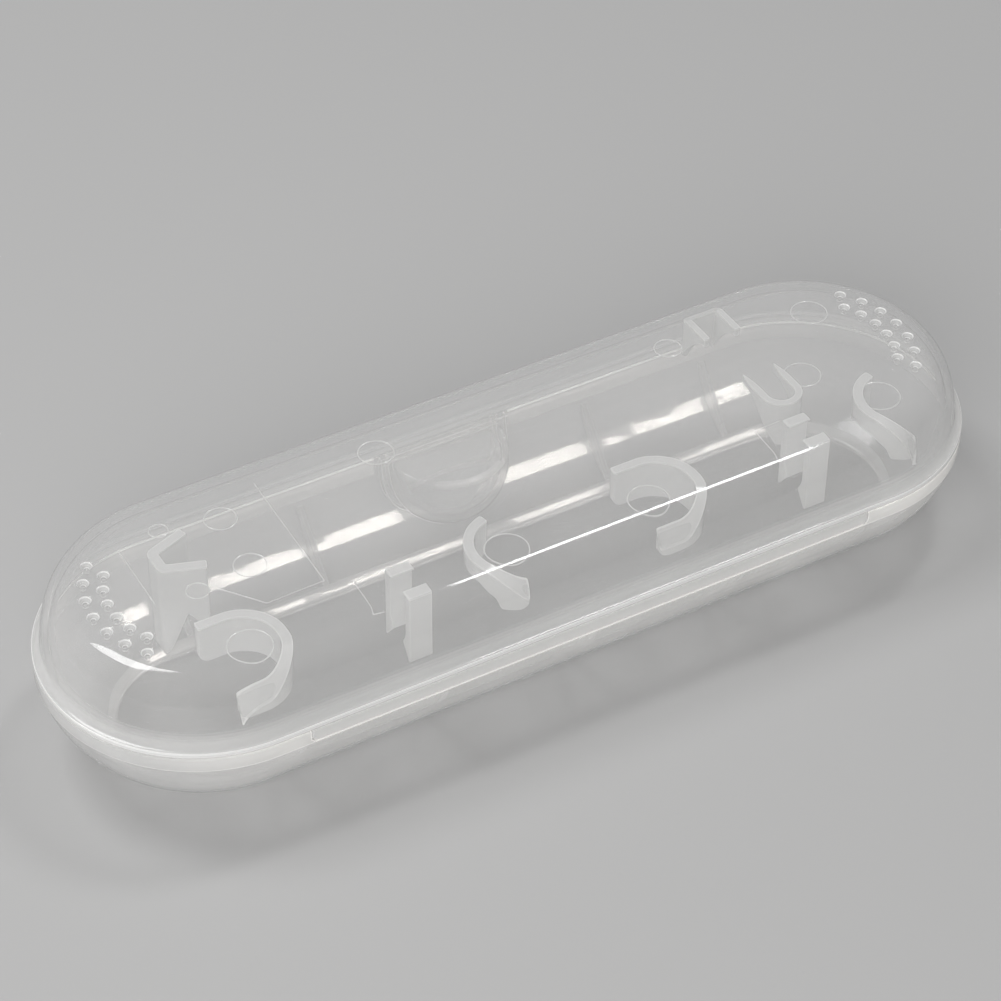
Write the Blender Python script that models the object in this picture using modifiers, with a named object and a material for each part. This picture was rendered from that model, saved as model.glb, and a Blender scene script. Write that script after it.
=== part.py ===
"""Hinged travel case for an electric toothbrush: two clear moulded shells joined along the near side by a
folding strip, with a latch tab over a thumb scoop and brush holders hanging from the lid.

X runs along the case, the hinge is on the -Y side, the latch on the +Y side, and Z is up with the case
closed and standing on z = 0.
"""
import math

import bmesh
import bpy
from mathutils import Matrix

MM = 0.001

# The closed case
LENGTH = 215.0 * MM
WIDTH = 69.0 * MM
HEIGHT = 39.0 * MM
PARTING_Z = 23.0 * MM
WALL = 1.6 * MM
SEAT_GAP = 0.3 * MM          # between two pieces that touch
END_STEPS = 24               # facets round each half circle end
CURVE_STEPS = 12             # facets along a curved side
LATCH_STEPS = 8              # facets up the curved latch
CREASE = math.radians(32.0)  # edges sharper than this stay sharp

# Base shell
BASE_CURVE_R = 23.0 * MM     # quarter circle of the base's side
BAND_HEIGHT = 3.5 * MM       # stiff rim under the parting line
BAND_WALL = 2.2 * MM
PAD_HALF = 20.5 * MM         # half width of the flat floor pad
PAD_DRAFT = 0.7 * MM

# Lid shell
LID_TOP_HALF = 24.5 * MM     # half width of the flat top
LID_WALL_INSET = 1.8 * MM    # the lid's wall stands this far inside the rim
LID_CURVE_POWER = 2.233      # shape of the shoulder, 2 is an ellipse
LID_CURVE_RISE = 0.5 * MM    # the shoulder's curve starts this far over the parting line
FLANGE_HEIGHT = 1.1 * MM
FLARE_R = 1.6 * MM           # fillet between the lid's wall and its rim

# Vents in the lid's top, two arcs at each end
VENT_ARC_R = (23.0 * MM, 19.1 * MM)      # distance from the end's centre
VENT_COUNTS = (7, 6)
VENT_PITCH = math.radians(12.8)
VENT_HOLE_R = 0.45 * MM
VENT_SINK_R = 1.25 * MM
VENT_SINK_DEPTH = 0.9 * MM
VENT_SIDES = 8

# Folding hinge strip along the near side
STRIP_LENGTH = 132.0 * MM
STRIP_THICKNESS = 0.8 * MM
STRIP_CORNER = 0.9 * MM
FOLD_GAP = 0.3 * MM

# Latch tab and the thumb scoop under it
TAB_HALF = 13.3 * MM
TAB_THICKNESS = 1.2 * MM
TAB_BOTTOM_Z = 12.0 * MM
TAB_CORNER_R = 4.0 * MM
TAB_SCALLOP = 0.9 * MM       # rise of the lower edge at its middle
TAB_PANEL_DEPTH = 0.4 * MM
TAB_BORDER = 1.5 * MM
TAB_RIB_X = 9.0 * MM
TAB_RIB_WIDTH = 1.6 * MM
TAB_BEAD_HALF = 8.0 * MM
TAB_BEAD_R = 0.7 * MM
TAB_BEAD_PROUD = 0.35 * MM
TAB_SIDE_GAP = 0.6 * MM      # room for the thumb's push beside and under the tab
POCKET_DEPTH = 1.8 * MM      # room for the tab in the base's side
LATCH_BAR_HEIGHT = 3.0 * MM
LATCH_BAR_FACE = 2.1 * MM    # how far the bar behind the tab stands inside the rim
SCOOP_R = 12.2 * MM
SCOOP_Y = 30.5 * MM
SCOOP_Z = 17.0 * MM
SCOOP_STEPS = 40

# Crescent ribs that cradle the brush in the base
CRADLE_SPOTS = (-0.918, -0.479, 0.0, 0.493, 0.918)     # share of the way to the end's centre
CRADLE_THICKNESS = 1.5 * MM
CRADLE_TOP_Z = 17.4 * MM
CRADLE_EDGE = 0.5 * MM
CRADLE_CREST = 2.6 * MM

# Holders that hang from the lid's top, given for the left set; the right set stands HOLDER_PITCH further on.
# Places along the case are counted from the centre of its round end
HOLDER_PITCH_CUT = 50.4 * MM # the pitch is this much less than the distance between the ends' centres
HOLDER_ROOT_WALL = 2.2 * MM
HOLDER_FREE_WALL = 1.8 * MM
HOOK_DROP = 10.8 * MM        # how far the hooks' lower edges lie below the lid's top
HOOK_CORNER_R = 2.4 * MM
STOP_GAP = 0.2 * MM          # least distance between two upright edges of a holder
CUP_END = 6.2 * MM           # cup hook: a rounded U open to -X, its arms' tips this far out of the centre
CUP_DEPTH = 14.2 * MM
CUP_Y = -20.2 * MM
CUP_HALF = 9.1 * MM
CUP_TURN_R = 8.6 * MM
RING_IN = 60.8 * MM          # ring hook: a round C open to +X, its middle this far in from the centre
RING_Y = -20.1 * MM
RING_R = 9.4 * MM
RING_SWEEP = math.radians(102.0)
RING_LOBE = 5.4 * MM         # the ring is deep along a lobe at either tip, then its lower edge steps up
RING_STEP = (0.9 * MM, 8.4 * MM)         # length of the step and its top's depth below the lid's top
RING_SLOPE = (4.0 * MM, 5.8 * MM)        # length of the slope after it and the same depth at the ring's back

# Snap prongs for the metal neck
CLIP_IN = 36.6 * MM
CLIP_WIDTH = 5.3 * MM
CLIP_Y = -19.6 * MM
CLIP_HALF_GAP = 3.3 * MM
CLIP_PRONG = 1.8 * MM
CLIP_BARB = 1.3 * MM
CLIP_BARB_Z = 24.0 * MM
CLIP_FREE_Z = 20.4 * MM
CLIP_ROOT_R = 2.2 * MM

# End stop for the handle, a V in plan
STOP_TIP_IN = 3.8 * MM
STOP_Y = 10.0 * MM
STOP_HALF = 5.6 * MM
STOP_DEPTH = 8.4 * MM
STOP_BACK_HALF = 2.6 * MM
STOP_FREE_Z = 14.5 * MM
STOP_NOTCH_Z = 25.5 * MM
STOP_TIP_Z = 20.0 * MM

# Cradle for the handle's shoulder: a round U on the near side and a squared one on the far side
SHOULDER_IN = (15.4 * MM, 7.5 * MM)
SHOULDER_WALL = 1.5 * MM
SHOULDER_AXIS = (8.0 * MM, 20.3 * MM)    # Y and Z of the handle's axis
SHOULDER_R = 18.3 * MM
NEAR_U_TIP_Y = 2.4 * MM
NEAR_U_BACK_Y = -10.1 * MM
NEAR_U_FREE_Z = 26.5 * MM
FAR_U_TIP_Y = 16.5 * MM
FAR_U_BACK_Y = 25.2 * MM
FAR_U_SCALLOP = 3.4 * MM

CLEAR_PP = (0.72, 0.74, 0.76, 1.0)

END_R = WIDTH / 2
STRAIGHT = LENGTH / 2 - END_R            # X of the centre of each round end
HOLDER_PITCH = 2 * STRAIGHT - HOLDER_PITCH_CUT
BASE_CURVE_Y = END_R - BASE_CURVE_R
RIM_LOW = PARTING_Z - SEAT_GAP / 2       # top of the base's rim
RIM_HIGH = PARTING_Z + SEAT_GAP / 2      # underside of the lid's rim
LID_CURVE_Z = PARTING_Z + LID_CURVE_RISE
LID_WALL_R = END_R - LID_WALL_INSET
UPPER_FOLD_Z = PARTING_Z
LOWER_FOLD_Z = PARTING_Z - BAND_HEIGHT + FOLD_GAP
REACH = 10.0 * MM                        # how far a cutter runs past what it cuts
OVERRUN = 1.0 * MM                       # the same where something else is near


def clear_scene():
    for item in list(bpy.data.objects):
        bpy.data.objects.remove(item, do_unlink=True)


def new_collection(name):
    group = bpy.data.collections.new(name)
    bpy.context.scene.collection.children.link(group)
    return group


def clear_plastic(name, roughness):
    """Milky clear polypropylene."""
    mat = bpy.data.materials.new(name)
    mat.use_nodes = True
    shader = mat.node_tree.nodes["Principled BSDF"]
    shader.inputs["Base Color"].default_value = CLEAR_PP
    shader.inputs["Roughness"].default_value = roughness
    shader.inputs["Metallic"].default_value = 0.0
    shader.inputs["Alpha"].default_value = 0.55
    mat.diffuse_color = CLEAR_PP[:3] + (0.55,)
    return mat


def object_from(bm, name, group):
    bmesh.ops.remove_doubles(bm, verts=bm.verts[:], dist=0.001 * MM)
    bmesh.ops.recalc_face_normals(bm, faces=bm.faces[:])
    mesh = bpy.data.meshes.new(name)
    bm.to_mesh(mesh)
    bm.free()
    item = bpy.data.objects.new(name, mesh)
    group.objects.link(item)
    return item


def as_cutter(item):
    item.hide_render = True
    item.display_type = "WIRE"
    return item


def boolean(item, other, operation):
    step = item.modifiers.new(operation.lower(), "BOOLEAN")
    step.operation = operation
    step.solver = "EXACT"
    step.object = other


def arc(centre, radius, start, end, steps):
    """Points on a circle from angle start to angle end."""
    return [(centre[0] + radius * math.cos(start + (end - start) * i / steps),
             centre[1] + radius * math.sin(start + (end - start) * i / steps)) for i in range(steps + 1)]


def base_side(inset, z):
    """Half width of the base's curved side, inset from its outer face, at height z."""
    radius = BASE_CURVE_R - inset
    return BASE_CURVE_Y + math.sqrt(max(radius ** 2 - (PARTING_Z - z) ** 2, 0.0))


def base_side_z(inset, half):
    """Height at which the base's curved side has this half width."""
    radius = BASE_CURVE_R - inset
    return PARTING_Z - math.sqrt(max(radius ** 2 - (half - BASE_CURVE_Y) ** 2, 0.0))


def base_curve(inset, half_low, z_high, steps=CURVE_STEPS):
    """The curved side from the half width half_low up to the height z_high, evenly along the arc."""
    radius = BASE_CURVE_R - inset
    low = math.acos(min((half_low - BASE_CURVE_Y) / radius, 1.0))
    high = math.asin(min((PARTING_Z - z_high) / radius, 1.0))
    return arc((BASE_CURVE_Y, PARTING_Z), radius, -low, -high, steps)


def lid_curve(inset, steps=CURVE_STEPS):
    """The lid's shoulder from its flat top down to its wall: a superellipse round the top's edge."""
    wide, tall = LID_WALL_R - LID_TOP_HALF, HEIGHT - inset - LID_CURVE_Z
    top = LID_TOP_HALF - inset
    flare_top = RIM_HIGH + FLANGE_HEIGHT + FLARE_R
    last = math.asin(max((flare_top - LID_CURVE_Z) / tall, 0.0) ** (LID_CURVE_POWER / 2))
    points = []
    for i in range(steps + 1):
        t = math.pi / 2 + (last - math.pi / 2) * i / steps
        points.append((top + wide * math.cos(t) ** (2 / LID_CURVE_POWER),
                       LID_CURVE_Z + tall * math.sin(t) ** (2 / LID_CURVE_POWER)))
    return points


def stadium_body(name, section, group):
    """A closed body with a long round ended plan. The section runs from one flat face to the other as
    (half width, height); it is spun half a turn about the end's centre, drawn straight to the middle and
    mirrored, and the flat faces close the two loops that are left."""
    bm = bmesh.new()
    line = [bm.verts.new((STRAIGHT, -half, z)) for half, z in section]
    edges = [bm.edges.new(pair) for pair in zip(line, line[1:])]
    spun = bmesh.ops.spin(bm, geom=line + edges, cent=(STRAIGHT, 0, 0), axis=(0, 0, 1), angle=math.pi,
                          steps=END_STEPS)
    far = [e for e in spun["geom_last"] if isinstance(e, bmesh.types.BMEdge)]
    for side in (edges, far):
        grown = bmesh.ops.extrude_edge_only(bm, edges=side)
        bmesh.ops.translate(bm, vec=(-STRAIGHT, 0, 0),
                            verts=[v for v in grown["geom"] if isinstance(v, bmesh.types.BMVert)])
    bmesh.ops.mirror(bm, geom=bm.verts[:] + bm.edges[:] + bm.faces[:], merge_dist=0.001 * MM, axis="X")
    bmesh.ops.holes_fill(bm, edges=[e for e in bm.edges if e.is_boundary], sides=0)
    return object_from(bm, name, group)


def turned_body(name, profile, places, steps, group):
    """One body of revolution about a vertical axis at each place; the profile is (radius, height) from the
    axis to the axis."""
    bm = bmesh.new()
    for x, y in places:
        line = [bm.verts.new((x + radius, y, z)) for radius, z in profile]
        edges = [bm.edges.new(pair) for pair in zip(line, line[1:])]
        bmesh.ops.spin(bm, geom=line + edges, cent=(x, y, 0), axis=(0, 0, 1), angle=2 * math.pi, steps=steps,
                       use_merge=True)
    return object_from(bm, name, group)


def plate(name, outlines, half, placement, group):
    """Flat outlines filled and extruded by half a thickness each way, then put in place."""
    curve = bpy.data.curves.new(name, "CURVE")
    curve.dimensions = "2D"
    curve.fill_mode = "BOTH"
    curve.extrude = half
    for outline in outlines:
        spline = curve.splines.new("POLY")
        spline.points.add(len(outline) - 1)
        for point, (u, v) in zip(spline.points, outline):
            point.co = (u, v, 0.0, 1.0)
        spline.use_cyclic_u = True
    source = bpy.data.objects.new(name + "_outline", curve)
    bpy.context.scene.collection.objects.link(source)
    bpy.context.view_layer.update()
    mesh = bpy.data.meshes.new_from_object(source.evaluated_get(bpy.context.evaluated_depsgraph_get()))
    bpy.data.objects.remove(source, do_unlink=True)
    bm = bmesh.new()
    bm.from_mesh(mesh)
    bpy.data.meshes.remove(mesh)
    item = object_from(bm, name, group)
    item.matrix_world = placement
    return item


def across(x, y=0.0, z=0.0):
    """Places an outline drawn in (Y, Z), with its thickness along X."""
    return Matrix.Translation((x, y, z)) @ Matrix(((0, 0, 1, 0), (1, 0, 0, 0), (0, 1, 0, 0), (0, 0, 0, 1)))


def facing(x, y, z=0.0):
    """Places an outline drawn in (X, Z), with its thickness along Y."""
    return Matrix.Translation((x, y, z)) @ Matrix.Rotation(math.pi / 2, 4, "X")


def along(path, extra=()):
    """A plan path as (distance along it, x, y), with added points at the distances in extra, left out where
    one falls next to a corner of the path."""
    runs = [0.0]
    for a, b in zip(path, path[1:]):
        runs.append(runs[-1] + math.dist(a, b))
    length = runs[-1]
    added = [e if e >= 0 else length + e for e in extra]
    stops = sorted(runs + [e for e in added if min(abs(e - s) for s in runs) > STOP_GAP])
    points, k = [], 0
    for s in stops:
        while k < len(runs) - 2 and s > runs[k + 1]:
            k += 1
        f = (s - runs[k]) / (runs[k + 1] - runs[k])
        points.append((s, path[k][0] + f * (path[k + 1][0] - path[k][0]),
                       path[k][1] + f * (path[k + 1][1] - path[k][1])))
    return points, length


def hanging_wall(name, path, free_edge, root_wall, free_wall, room, group, extra=()):
    """A thin wall that hangs from the lid along a plan path, thicker at its root, with its lower edge at the
    height free_edge(distance, length, x, y). The lid's inner room trims its root to the shell."""
    points, length = along(path, extra)
    bm = bmesh.new()
    draft = bm.verts.layers.deform.verify()
    columns = []
    for s, x, y in points:
        root = bm.verts.new((x, y, HEIGHT + REACH))
        free = bm.verts.new((x, y, free_edge(s, length, x, y)))
        root[draft][0], free[draft][0] = 1.0, 0.0
        columns.append((root, free))
    for (a, b), (c, d) in zip(columns, columns[1:]):
        bm.faces.new((a, b, d, c))
    mesh = bpy.data.meshes.new(name)
    bm.to_mesh(mesh)
    bm.free()
    item = bpy.data.objects.new(name, mesh)
    group.objects.link(item)
    item.vertex_groups.new(name="root")
    skin = item.modifiers.new("wall", "SOLIDIFY")
    skin.thickness = root_wall
    skin.offset = 0.0
    skin.use_even_offset = True
    skin.vertex_group = "root"
    skin.thickness_vertex_group = free_wall / root_wall
    item.modifiers.new("facets", "TRIANGULATE")     # the drafted quads are slightly twisted
    boolean(item, room, "INTERSECT")
    return item


def round_corner(s, length, radius):
    """How far a free corner of this radius lifts the lower edge at distance s from either end."""
    inward = min(s, length - s)
    if inward >= radius:
        return 0.0
    return radius - math.sqrt(max(radius ** 2 - (radius - inward) ** 2, 0.0))


def corner_stops(radius, steps=4):
    """Distances from both ends at which a rounded free corner is sampled."""
    near = [radius * (1 - math.cos(math.pi / 2 * i / steps)) for i in range(1, steps + 1)]
    return near + [-s for s in near]


def build_base(parts, cutters):
    floor_z = WALL
    inner_pad = PAD_HALF - PAD_DRAFT - WALL / 2
    inner_rim = END_R - BAND_WALL
    band_low = PARTING_Z - BAND_HEIGHT
    meet = PARTING_Z - math.sqrt(max((BASE_CURVE_R - WALL) ** 2 - (inner_rim - BASE_CURVE_Y) ** 2, 0.0))
    outer = [(PAD_HALF - PAD_DRAFT, 0.0)] + base_curve(0.0, PAD_HALF, band_low)
    rim = [(END_R, band_low), (END_R, RIM_LOW), (inner_rim, RIM_LOW)]
    inner = list(reversed(base_curve(WALL, PAD_HALF, meet))) + [(inner_pad, floor_z)]
    shell = stadium_body("base_shell", outer + rim + inner, parts)

    middle = stadium_body("base_wall_middle",
                          [(PAD_HALF - WALL, WALL / 2)] + base_curve(WALL / 2, PAD_HALF, PARTING_Z - OVERRUN)
                          + [(END_R - WALL / 2, RIM_LOW - WALL / 2)], cutters)
    as_cutter(middle)

    bar_low = PARTING_Z - LATCH_BAR_HEIGHT
    pocket_low = TAB_BOTTOM_Z - TAB_SIDE_GAP
    backing_low = pocket_low - WALL
    heights = [backing_low + (PARTING_Z - backing_low) * i / LATCH_STEPS for i in range(LATCH_STEPS + 1)]
    backing = plate("latch_backing", [[(base_side(WALL / 2, z), min(z, RIM_LOW)) for z in heights]
                                      + [(base_side(POCKET_DEPTH + WALL, z), min(z, RIM_LOW))
                                         for z in reversed(heights)]],
                    TAB_HALF + TAB_SIDE_GAP + WALL, across(0.0), cutters)
    boolean(shell, as_cutter(backing), "UNION")

    bump = turned_body("scoop_wall", bullet(SCOOP_R + WALL, bar_low + WALL), [(0.0, SCOOP_Y)], SCOOP_STEPS,
                       cutters)
    boolean(as_cutter(bump), middle, "INTERSECT")
    boolean(shell, bump, "UNION")

    heights = [pocket_low + (PARTING_Z - pocket_low) * i / LATCH_STEPS for i in range(LATCH_STEPS + 1)]
    back = [(min(base_side(POCKET_DEPTH, z), END_R - LATCH_BAR_FACE), z) for z in heights]
    pocket = plate("latch_pocket", [back + [(END_R - LATCH_BAR_FACE, PARTING_Z + REACH),
                                            (END_R + REACH, PARTING_Z + REACH), (END_R + REACH, pocket_low)]],
                   TAB_HALF + TAB_SIDE_GAP, across(0.0), cutters)
    boolean(shell, as_cutter(pocket), "DIFFERENCE")

    scoop = turned_body("thumb_scoop", bullet(SCOOP_R, bar_low), [(0.0, SCOOP_Y)], SCOOP_STEPS, cutters)
    boolean(shell, as_cutter(scoop), "DIFFERENCE")

    depth = STRIP_THICKNESS + SEAT_GAP
    recess_low = LOWER_FOLD_Z - FOLD_GAP / 2
    side = STRIP_LENGTH / 2 + SEAT_GAP
    recess = plate("strip_recess", [[(-side, PARTING_Z + REACH), (-side, recess_low + STRIP_CORNER),
                                     (-side + STRIP_CORNER, recess_low), (side - STRIP_CORNER, recess_low),
                                     (side, recess_low + STRIP_CORNER), (side, PARTING_Z + REACH)]],
                   REACH / 2, facing(0.0, -END_R + depth - REACH / 2), cutters)
    boolean(shell, as_cutter(recess), "DIFFERENCE")


def bullet(radius, top):
    """A half ball of this radius under the scoop's centre, drawn up to the height top."""
    ball = arc((0.0, SCOOP_Z), radius, -math.pi / 2, 0.0, 10)
    return ball + [(radius, top), (0.0, top)]


def build_cradles(parts):
    """Crescents on the inner face of the base's side, a far row and a near row. The scoop takes the middle
    place of the far row."""
    seat = WALL + SEAT_GAP
    low = base_side_z(seat, PAD_HALF)
    start = math.atan2(low - PARTING_Z, PAD_HALF - BASE_CURVE_Y)
    end = math.asin(max((CRADLE_TOP_Z - PARTING_Z) / (BASE_CURVE_R - seat), -1.0))
    outer = arc((BASE_CURVE_Y, PARTING_Z), BASE_CURVE_R - seat, start, end, CURVE_STEPS)
    crest = []
    for i in range(CURVE_STEPS, -1, -1):
        t = start + (end - start) * i / CURVE_STEPS
        rise = CRADLE_EDGE + (CRADLE_CREST - CRADLE_EDGE) * math.sin(math.pi * i / CURVE_STEPS)
        radius = BASE_CURVE_R - seat - rise
        crest.append((BASE_CURVE_Y + radius * math.cos(t), PARTING_Z + radius * math.sin(t)))
    for row, side in (("far", 1), ("near", -1)):
        outline = [(side * half, z) for half, z in outer + crest]
        for number, spot in enumerate(CRADLE_SPOTS, 1):
            x = spot * STRAIGHT
            if side > 0 and abs(x) < SCOOP_R:
                continue
            plate("cradle_rib_%s_%d" % (row, number), [outline], CRADLE_THICKNESS / 2, across(x), parts)


def build_lid(parts, cutters):
    flange_top = RIM_HIGH + FLANGE_HEIGHT
    flare_centre = (LID_WALL_R + FLARE_R, flange_top + FLARE_R)
    outer = lid_curve(0.0) + arc(flare_centre, FLARE_R, math.pi, 1.5 * math.pi, 5)[1:]
    rim_turn = math.asin(min((flare_centre[1] - RIM_HIGH) / (FLARE_R + WALL), 1.0))
    inner = arc(flare_centre, FLARE_R + WALL, math.pi + rim_turn, math.pi, 4)
    inner += list(reversed(lid_curve(WALL)))[1:]
    shell = stadium_body("lid_shell", outer + [(END_R, flange_top), (END_R, RIM_HIGH)] + inner, parts)

    slope = (VENT_SINK_R - VENT_HOLE_R) / VENT_SINK_DEPTH
    profile = [(0.0, HEIGHT + OVERRUN), (VENT_SINK_R + slope * OVERRUN, HEIGHT + OVERRUN),
               (VENT_HOLE_R, HEIGHT - VENT_SINK_DEPTH), (VENT_HOLE_R, HEIGHT - 2 * WALL),
               (0.0, HEIGHT - 2 * WALL)]
    places = []
    for end in (-1, 1):
        for distance, count in zip(VENT_ARC_R, VENT_COUNTS):
            for i in range(count):
                turn = VENT_PITCH * (i - (count - 1) / 2)
                places.append((end * (STRAIGHT + distance * math.cos(turn)), distance * math.sin(turn)))
    vents = turned_body("vents", profile, places, VENT_SIDES, cutters)
    boolean(shell, as_cutter(vents), "DIFFERENCE")

    seat = lid_curve(WALL + SEAT_GAP)
    room = stadium_body("lid_room", seat + [(seat[-1][0], PARTING_Z - 2 * REACH)], cutters)
    return shell, as_cutter(room)


def build_strip(parts):
    """The strip between the two folds, flush with the rims."""
    low, high = LOWER_FOLD_Z + FOLD_GAP / 2, UPPER_FOLD_Z - FOLD_GAP / 2
    side = STRIP_LENGTH / 2
    outline = [(-side, high), (-side, low + STRIP_CORNER), (-side + STRIP_CORNER, low),
               (side - STRIP_CORNER, low), (side, low + STRIP_CORNER), (side, high)]
    return plate("hinge_strip", [outline], STRIP_THICKNESS / 2,
                 facing(0.0, -END_R + STRIP_THICKNESS / 2), parts)


def build_tab(parts, cutters):
    """The latch tab: a curved leaf with a sunk panel, two upright ribs and a bead on its inner face."""
    top = RIM_LOW
    foot = TAB_BOTTOM_Z - OVERRUN
    heights = [foot + (top - foot) * i / LATCH_STEPS for i in range(LATCH_STEPS + 1)]
    leaf = [(base_side(0.0, z), z) for z in heights] + [(base_side(TAB_THICKNESS, z), z)
                                                        for z in reversed(heights)]
    tab = plate("latch_tab", [leaf], TAB_HALF + OVERRUN, across(0.0), parts)
    turn = math.pi / 2
    right = arc((TAB_HALF - TAB_CORNER_R, TAB_BOTTOM_Z + TAB_CORNER_R), TAB_CORNER_R, 0.0, -turn, 6)
    left = [(-x, z) for x, z in reversed(right)]
    reach = TAB_HALF - TAB_CORNER_R
    edge = []
    for i in range(1, LATCH_STEPS):
        f = i / LATCH_STEPS
        edge.append((reach - 2 * reach * f, TAB_BOTTOM_Z + TAB_SCALLOP * math.sin(math.pi * f)))
    outline = [(TAB_HALF, top + REACH)] + right + edge + left + [(-TAB_HALF, top + REACH)]
    trim = plate("tab_outline", [outline], REACH, facing(0.0, END_R), cutters)
    boolean(tab, as_cutter(trim), "INTERSECT")

    low, high = TAB_BOTTOM_Z + TAB_BORDER + TAB_SCALLOP, top - TAB_BORDER
    rows = [low + (high - low) * i / LATCH_STEPS for i in range(LATCH_STEPS + 1)]
    sunk = [(base_side(TAB_PANEL_DEPTH, z), z) for z in rows] + [(END_R + REACH, high), (END_R + REACH, low)]
    middle = TAB_RIB_X - TAB_RIB_WIDTH / 2
    outer_low, outer_high = TAB_RIB_X + TAB_RIB_WIDTH / 2, TAB_HALF - TAB_BORDER
    spans = ((-middle, middle), (outer_low, outer_high), (-outer_high, -outer_low))
    for number, (a, b) in enumerate(spans, 1):
        panel = plate("tab_panel_%d" % number, [sunk], (b - a) / 2, across((a + b) / 2), cutters)
        boolean(tab, as_cutter(panel), "DIFFERENCE")

    bead_z = PARTING_Z - LATCH_BAR_HEIGHT - TAB_BEAD_R - SEAT_GAP
    bead_y = base_side(TAB_THICKNESS, bead_z) + TAB_BEAD_R - TAB_BEAD_PROUD
    bead = plate("tab_bead", [arc((bead_y, bead_z), TAB_BEAD_R, 0.0, 2 * math.pi, 12)[:-1]], TAB_BEAD_HALF,
                 across(0.0), cutters)
    boolean(tab, as_cutter(bead), "UNION")
    return tab


def build_hooks(parts, room):
    """Two pairs of hooks for the brush heads: a rounded cup and a ring with deep tips facing each other."""
    step_end = RING_LOBE + RING_STEP[0]
    slope_end = step_end + RING_SLOPE[0]
    low, step_top, back = HEIGHT - HOOK_DROP, HEIGHT - RING_STEP[1], HEIGHT - RING_SLOPE[1]

    def cup_edge(s, length, x, y):
        return low + round_corner(s, length, HOOK_CORNER_R)

    def ring_edge(s, length, x, y):
        inward = min(s, length - s)
        if inward <= RING_LOBE:
            return cup_edge(s, length, x, y)
        if inward <= step_end:
            return low + (step_top - low) * (inward - RING_LOBE) / RING_STEP[0]
        f = min((inward - step_end) / RING_SLOPE[0], 1.0)
        return step_top + (back - step_top) * f

    turn = math.pi / 2
    tip_x = -STRAIGHT - CUP_END
    straight_x, straight_y = tip_x + CUP_DEPTH - CUP_TURN_R, CUP_HALF - CUP_TURN_R
    cup = [(tip_x, CUP_Y + CUP_HALF)]
    cup += arc((straight_x, CUP_Y + straight_y), CUP_TURN_R, turn, 0.0, 6)
    cup += arc((straight_x, CUP_Y - straight_y), CUP_TURN_R, 0.0, -turn, 6)
    cup += [(tip_x, CUP_Y - CUP_HALF)]
    ring = arc((RING_IN - STRAIGHT, RING_Y), RING_R, RING_SWEEP, 2 * math.pi - RING_SWEEP, 16)
    corners = corner_stops(HOOK_CORNER_R)
    steps = [RING_LOBE, step_end, slope_end]
    ring_stops = corners + steps + [-s for s in steps]
    items = []
    for side, shift in (("left", 0.0), ("right", HOLDER_PITCH)):
        for kind, path, edge, stops in (("cup", cup, cup_edge, corners), ("ring", ring, ring_edge, ring_stops)):
            items.append(hanging_wall("head_hook_%s_%s" % (kind, side), [(x + shift, y) for x, y in path],
                                      edge, HOLDER_ROOT_WALL, HOLDER_FREE_WALL, room, parts, stops))
    return items


def build_clips(parts, room):
    """Two pairs of barbed prongs that snap over the necks."""
    inner, outer = CLIP_HALF_GAP, CLIP_HALF_GAP + CLIP_PRONG
    root_z = HEIGHT - WALL - SEAT_GAP
    fillet = arc((inner - CLIP_ROOT_R, root_z - CLIP_ROOT_R), CLIP_ROOT_R, 0.0, math.pi / 2, 5)
    profile = [(outer, HEIGHT + OVERRUN), (outer, CLIP_FREE_Z), (outer - CLIP_PRONG / 4, CLIP_FREE_Z),
               (inner - CLIP_BARB, CLIP_BARB_Z), (inner, CLIP_BARB_Z + 2 * CLIP_BARB)] + fillet
    profile += [(inner - CLIP_ROOT_R, HEIGHT + OVERRUN)]
    items = []
    for side, shift in (("left", 0.0), ("right", HOLDER_PITCH)):
        for place, sign in (("far", 1), ("near", -1)):
            outline = [(CLIP_Y + sign * y, z) for y, z in profile]
            prong = plate("neck_prong_%s_%s" % (place, side), [outline], CLIP_WIDTH / 2,
                          across(CLIP_IN - STRAIGHT + shift), parts)
            boolean(prong, room, "INTERSECT")
            items.append(prong)
    return items


def build_stop(parts, room):
    """The V that takes the end of the handle: each arm's lower edge has a notch between two feet."""
    tip_x = STOP_TIP_IN - STRAIGHT
    back_x = tip_x - STOP_DEPTH
    path = [(tip_x, STOP_Y + STOP_HALF), (back_x, STOP_Y + STOP_BACK_HALF),
            (back_x, STOP_Y - STOP_BACK_HALF), (tip_x, STOP_Y - STOP_HALF)]
    arm = math.dist(path[0], path[1])

    def free_edge(s, length, x, y):
        f = min(s, length - s) / arm
        if f >= 0.999:
            return STOP_FREE_Z
        if f >= 0.5:
            return STOP_NOTCH_Z + (STOP_FREE_Z - STOP_NOTCH_Z) * (f - 0.5) * 2
        return STOP_TIP_Z + (STOP_NOTCH_Z - STOP_TIP_Z) * f * 2

    return hanging_wall("handle_end_stop", path, free_edge, HOLDER_ROOT_WALL, HOLDER_FREE_WALL, room, parts,
                        (arm / 2, -arm / 2))


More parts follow.
